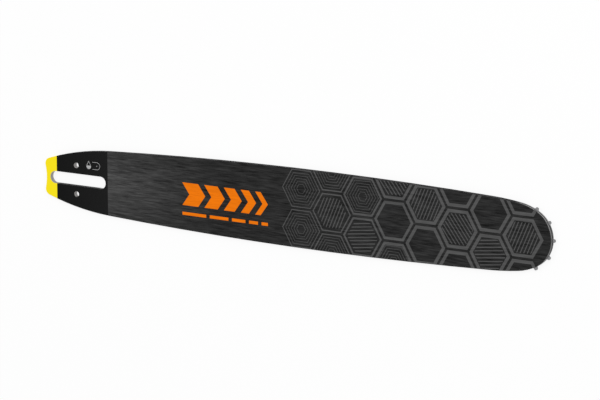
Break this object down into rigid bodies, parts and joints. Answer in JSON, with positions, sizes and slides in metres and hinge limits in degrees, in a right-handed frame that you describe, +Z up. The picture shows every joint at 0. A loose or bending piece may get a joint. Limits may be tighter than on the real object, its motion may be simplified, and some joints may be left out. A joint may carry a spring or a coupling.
{
  "type": "chainsaw guide bar",
  "caption": "Long flat laminated chainsaw guide bar with a stud slot at the heel, a chain groove along both edges and a toothed sprocket turning in its nose.",
  "frame": {"origin": "middle of the stud slot, on the lower face that the bar lies on", "axes": "+X along the bar from the heel to the nose, +Y across it, +Z up through the plates"},
  "size_m": [0.5552, 0.0746, 0.0048],
  "materials": {
    "printed_plate": "brushed anthracite with a black and yellow heel, bare edges",
    "core_steel": "plain cold-rolled",
    "filled_polyamide": "moulded, glass-filled",
    "sprocket_steel": "stamped and hardened",
    "bearing_steel": "ground"
  },
  "bodies": {
    "bar": {"lower_side_plate": "printed_plate", "upper_side_plate": "printed_plate", "core_plate": "core_steel", "core_insert_1": "filled_polyamide", "core_insert_2": "filled_polyamide", "core_insert_3": "filled_polyamide", "core_insert_4": "filled_polyamide", "bearing_race": "bearing_steel", "nose_rivets": "printed_plate"},
    "sprocket": {"nose_sprocket": "sprocket_steel"},
    "rollers": {"bearing_roller_01": "bearing_steel", "bearing_roller_02": "bearing_steel", "bearing_roller_03": "bearing_steel", "bearing_roller_04": "bearing_steel", "bearing_roller_05": "bearing_steel", "bearing_roller_06": "bearing_steel", "bearing_roller_07": "bearing_steel", "bearing_roller_08": "bearing_steel", "bearing_roller_09": "bearing_steel", "bearing_roller_10": "bearing_steel", "bearing_roller_11": "bearing_steel", "bearing_roller_12": "bearing_steel", "bearing_roller_13": "bearing_steel", "bearing_roller_14": "bearing_steel", "bearing_roller_15": "bearing_steel"}
  },
  "joints": [
    {"name": "sprocket_spin", "type": "hinge", "parent": "bar", "child": "sprocket", "pos_m": [0.4854, 0, 0.0024], "axis": [0, 0, 1], "continuous": true},
    {"name": "roller_orbit", "type": "hinge", "parent": "bar", "child": "rollers", "pos_m": [0.4854, 0, 0.0024], "axis": [0, 0, 1], "continuous": true}
  ],
  "couplings": [
    {"joint": "roller_orbit", "follows": "sprocket_spin", "ratio": 0.6023}
  ]
}
